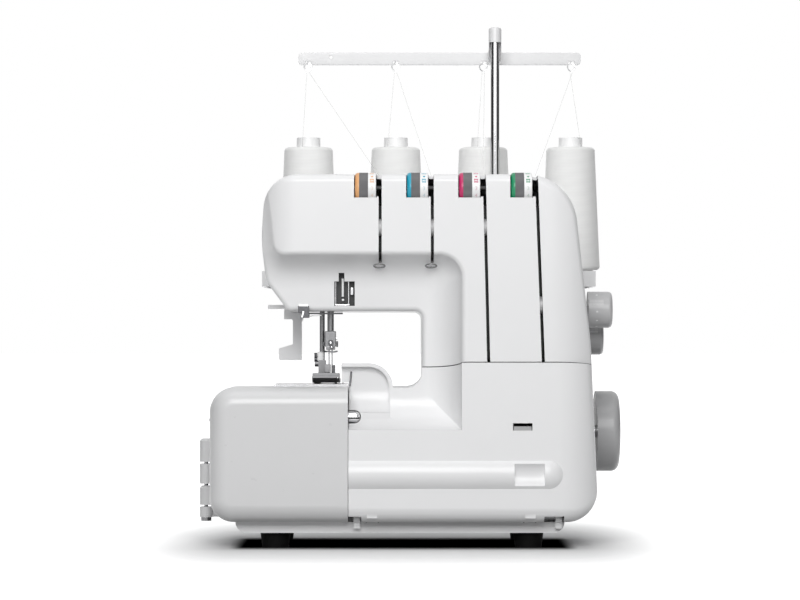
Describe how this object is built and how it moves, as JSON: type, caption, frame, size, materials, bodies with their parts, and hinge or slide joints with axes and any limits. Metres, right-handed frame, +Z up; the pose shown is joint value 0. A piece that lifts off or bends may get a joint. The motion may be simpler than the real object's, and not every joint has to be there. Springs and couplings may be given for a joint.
{
  "type": "overlock sewing machine",
  "caption": "Free-arm overlock machine with a folding looper cover, a swinging cloth plate cover, tension dials on the top edge, a telescopic thread mast and thread cones on a rear stand.",
  "frame": {"origin": "centre of the box round the machine, on the table under its rubber feet", "axes": "+X to the operator's right, +Y away from the operator, +Z up"},
  "size_m": [0.334, 0.256, 0.4232],
  "materials": {
    "body_white": "satin white moulding",
    "pan_grey": "matt grey moulding",
    "foot_rubber": "black rubber",
    "dial_grey": "knurled grey",
    "cap_orange": "gloss",
    "cap_teal": "gloss",
    "cap_magenta": "gloss",
    "cap_green": "gloss",
    "knob_grey": "satin grey",
    "chrome": "polished",
    "steel": "ground",
    "casting": "as cast",
    "motor_black": "satin",
    "channel_black": "matt black",
    "cone_white": "satin",
    "thread_white": "wound thread"
  },
  "bodies": {
    "machine": {"base_pan": "pan_grey", "cone_cores": "cone_white", "cone_holders": "cone_white", "cover_lock_stud": "chrome", "dial_axle": "steel", "drive_belt": "foot_rubber", "hinge_pins": "steel", "housing_screws": "steel", "lower_housing": "body_white", "lower_knife": "steel", "main_frame": "casting", "mast_tube": "steel", "motor": "motor_black", "needle_plate": "steel", "power_inlet": "channel_black", "presser_spring": "steel", "rubber_feet": "foot_rubber", "shaft_bearings": "steel", "side_hinge": "body_white", "spool_pins": "chrome", "spool_stand": "body_white", "tension_units": "chrome", "thread_channels": "channel_black", "thread_guides": "chrome", "thread_packages": "thread_white", "thread_runs": "thread_white", "upper_front_housing": "body_white", "upper_rear_housing": "body_white"},
    "cover_carriage": {"cover_sleeves": "channel_black"},
    "looper_cover": {"looper_cover": "body_white", "cover_window_tab": "knob_grey"},
    "cloth_plate_cover": {"cloth_plate_cover": "body_white"},
    "stitch_length_dial": {"stitch_length_dial": "knob_grey"},
    "differential_feed_dial": {"differential_feed_dial": "knob_grey"},
    "handwheel": {"handwheel": "knob_grey", "main_shaft": "steel", "shaft_pulley": "channel_black"},
    "motor_pulley": {"motor_pulley": "channel_black"},
    "needle_bar": {"needle_bar": "chrome", "needle_clamp": "steel", "needles": "steel"},
    "needle_rocker": {"rocker_shaft": "steel"},
    "lower_looper": {"lower_looper": "steel"},
    "upper_looper": {"upper_looper": "steel"},
    "upper_knife": {"upper_knife": "steel"},
    "feed_dog": {"feed_dog": "steel"},
    "presser_lifter": {"presser_lifter": "body_white"},
    "presser_bar": {"presser_bar": "chrome", "presser_foot": "steel"},
    "mast": {"mast_rod": "chrome", "thread_guide_bar": "body_white"},
    "power_switch": {"power_switch": "channel_black"},
    "tension_dial_1": {"tension_dial_1": "dial_grey", "tension_cap_1": "cap_orange"},
    "tension_dial_2": {"tension_dial_2": "dial_grey", "tension_cap_2": "cap_teal"},
    "tension_dial_3": {"tension_dial_3": "dial_grey", "tension_cap_3": "cap_magenta"},
    "tension_dial_4": {"tension_dial_4": "dial_grey", "tension_cap_4": "cap_green"}
  },
  "joints": [
    {"name": "cover_slide", "type": "slide", "parent": "machine", "child": "cover_carriage", "axis": [1, 0, 0], "range_m": [0, 0.008]},
    {"name": "cover_fold", "type": "hinge", "parent": "cover_carriage", "child": "looper_cover", "pos_m": [0, -0.108, 0.0246], "axis": [1, 0, 0], "range_deg": [0, 85]},
    {"name": "cloth_plate_swing", "type": "hinge", "parent": "machine", "child": "cloth_plate_cover", "pos_m": [-0.1619, -0.062, 0.05], "axis": [0, 0, -1], "range_deg": [0, 100]},
    {"name": "stitch_length_turn", "type": "hinge", "parent": "machine", "child": "stitch_length_dial", "pos_m": [0.15, -0.054, 0.186], "axis": [1, 0, 0], "range_deg": [-135, 135]},
    {"name": "differential_feed_turn", "type": "hinge", "parent": "machine", "child": "differential_feed_dial", "pos_m": [0.149, -0.018, 0.1645], "axis": [1, 0, 0], "range_deg": [-120, 120]},
    {"name": "handwheel_turn", "type": "hinge", "parent": "machine", "child": "handwheel", "pos_m": [0.15, -0.024, 0.0888], "axis": [1, 0, 0], "continuous": true},
    {"name": "motor_turn", "type": "hinge", "parent": "machine", "child": "motor_pulley", "pos_m": [0.1, 0, 0.05], "axis": [1, 0, 0], "continuous": true},
    {"name": "needle_bar_travel", "type": "slide", "parent": "machine", "child": "needle_bar", "axis": [0, 0, 1], "range_m": [-0.013, 0]},
    {"name": "needle_rocker_turn", "type": "hinge", "parent": "machine", "child": "needle_rocker", "pos_m": [0, -0.034, 0.2235], "axis": [1, 0, 0], "range_deg": [-1, 25.45]},
    {"name": "lower_looper_swing", "type": "hinge", "parent": "machine", "child": "lower_looper", "pos_m": [-0.036, -0.074, 0.06], "axis": [0, 1, 0], "range_deg": [-1, 17]},
    {"name": "upper_looper_swing", "type": "hinge", "parent": "machine", "child": "upper_looper", "pos_m": [-0.008, -0.082, 0.066], "axis": [0, 1, 0], "range_deg": [-15, 1]},
    {"name": "upper_knife_travel", "type": "slide", "parent": "machine", "child": "upper_knife", "axis": [0, 0, 1], "range_m": [-0.0065, 0.0005]},
    {"name": "feed_dog_travel", "type": "slide", "parent": "machine", "child": "feed_dog", "axis": [0, 1, 0], "range_m": [-0.0003, 0.0033]},
    {"name": "presser_lifter_turn", "type": "hinge", "parent": "machine", "child": "presser_lifter", "pos_m": [-0.092, 0.002, 0.18], "axis": [0, 1, 0], "range_deg": [0, 50]},
    {"name": "presser_bar_lift", "type": "slide", "parent": "machine", "child": "presser_bar", "axis": [0, 0, 1], "range_m": [0, 0.005], "deforming": ["presser_spring"]},
    {"name": "mast_slide", "type": "slide", "parent": "machine", "child": "mast", "axis": [0, 0, 1], "range_m": [-0.05, 0], "deforming": ["thread_runs"]},
    {"name": "power_switch_rock", "type": "hinge", "parent": "machine", "child": "power_switch", "pos_m": [0.1429, 0.007, 0.04], "axis": [0, 1, 0], "range_deg": [-8, 8]},
    {"name": "tension_dial_1_turn", "type": "hinge", "parent": "machine", "child": "tension_dial_1", "pos_m": [-0.0353, -0.114, 0.2794], "axis": [1, 0, 0], "range_deg": [-150, 150]},
    {"name": "tension_dial_2_turn", "type": "hinge", "parent": "machine", "child": "tension_dial_2", "pos_m": [0.0048, -0.114, 0.2794], "axis": [1, 0, 0], "range_deg": [-150, 150]},
    {"name": "tension_dial_3_turn", "type": "hinge", "parent": "machine", "child": "tension_dial_3", "pos_m": [0.0449, -0.114, 0.2794], "axis": [1, 0, 0], "range_deg": [-150, 150]},
    {"name": "tension_dial_4_turn", "type": "hinge", "parent": "machine", "child": "tension_dial_4", "pos_m": [0.085, -0.114, 0.2794], "axis": [1, 0, 0], "range_deg": [-150, 150]}
  ],
  "couplings": [
    {"joint": "motor_turn", "follows": "handwheel_turn", "ratio": 3.5},
    {"joint": "needle_rocker_turn", "follows": "needle_bar_travel", "rad_per_m": -32.826},
    {"joint": "lower_looper_swing", "follows": "needle_bar_travel", "rad_per_m": -21.481},
    {"joint": "upper_looper_swing", "follows": "needle_bar_travel", "rad_per_m": 18.796},
    {"joint": "upper_knife_travel", "follows": "needle_bar_travel", "ratio": 0.46154},
    {"joint": "feed_dog_travel", "follows": "needle_bar_travel", "ratio": -0.23077},
    {"joint": "presser_lifter_turn", "follows": "presser_bar_lift", "rad_per_m": 174.53}
  ]
}
